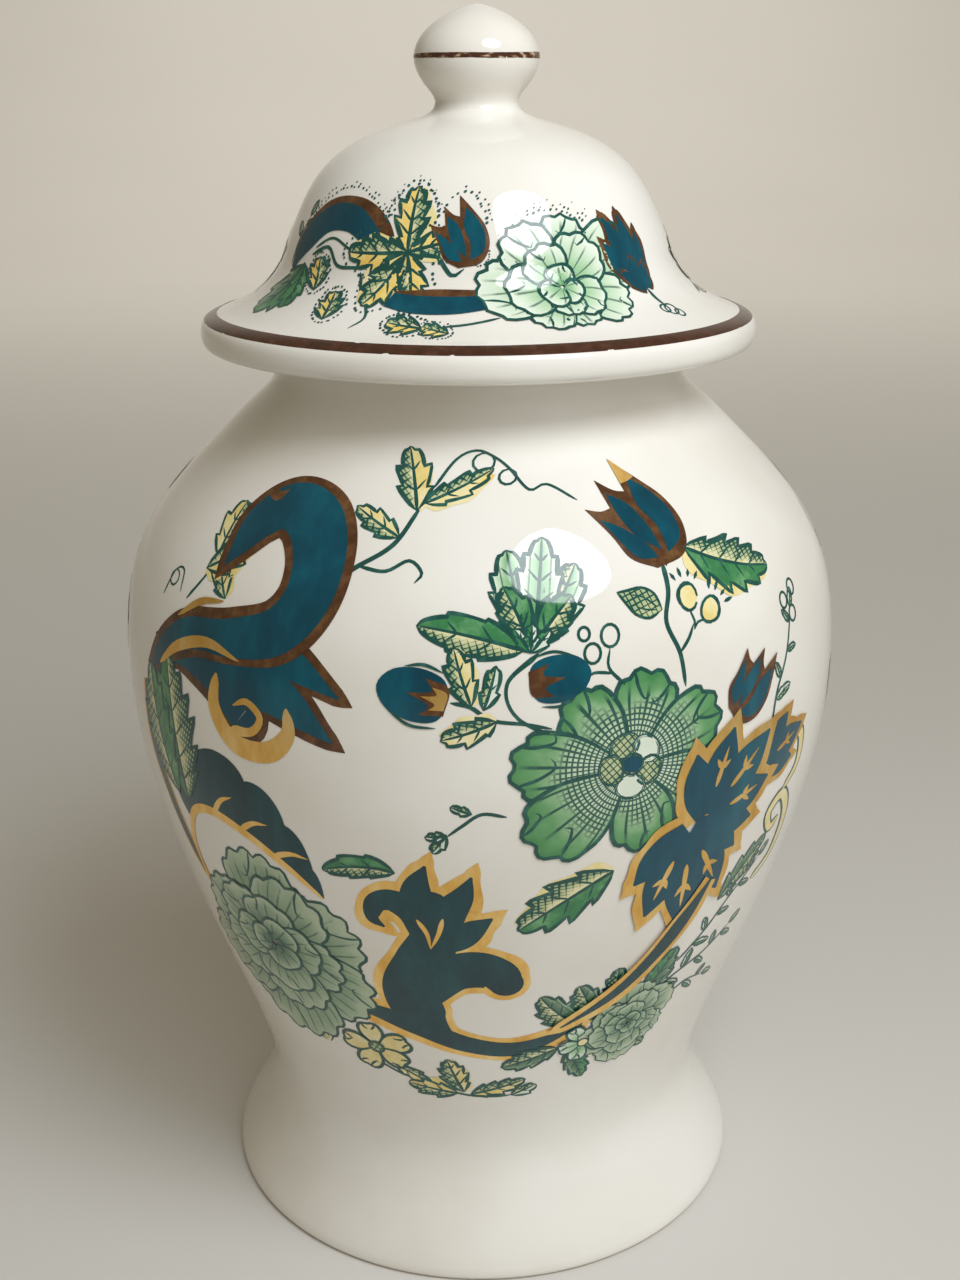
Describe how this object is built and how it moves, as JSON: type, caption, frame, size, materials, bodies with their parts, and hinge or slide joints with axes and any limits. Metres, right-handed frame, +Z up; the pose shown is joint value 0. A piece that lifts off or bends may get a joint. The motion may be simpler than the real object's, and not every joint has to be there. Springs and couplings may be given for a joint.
{
  "type": "ginger jar",
  "caption": "Lidded ceramic ginger jar: a round-shouldered body on a spreading foot, with a domed, knobbed lid that lifts off the collar.",
  "frame": {"origin": "centre of the foot ring, on the surface that the jar stands on", "axes": "+Z up along the jar's axis of revolution, out of its mouth; the painted front of the jar faces -Y"},
  "size_m": [0.1368, 0.1368, 0.23],
  "materials": {
    "jar_glaze": "cream white gloss glaze with painted and printed flowers in teal, green, brown and gold",
    "lid_glaze": "cream white gloss glaze with flowers and brown painted bands on the rim and the knob"
  },
  "bodies": {
    "jar": {"jar_body": "jar_glaze"},
    "lid": {"lid": "lid_glaze"}
  },
  "joints": [
    {"name": "lid_lift", "type": "slide", "parent": "jar", "child": "lid", "axis": [0, 0, 1], "range_m": [0, 0.12]}
  ]
}
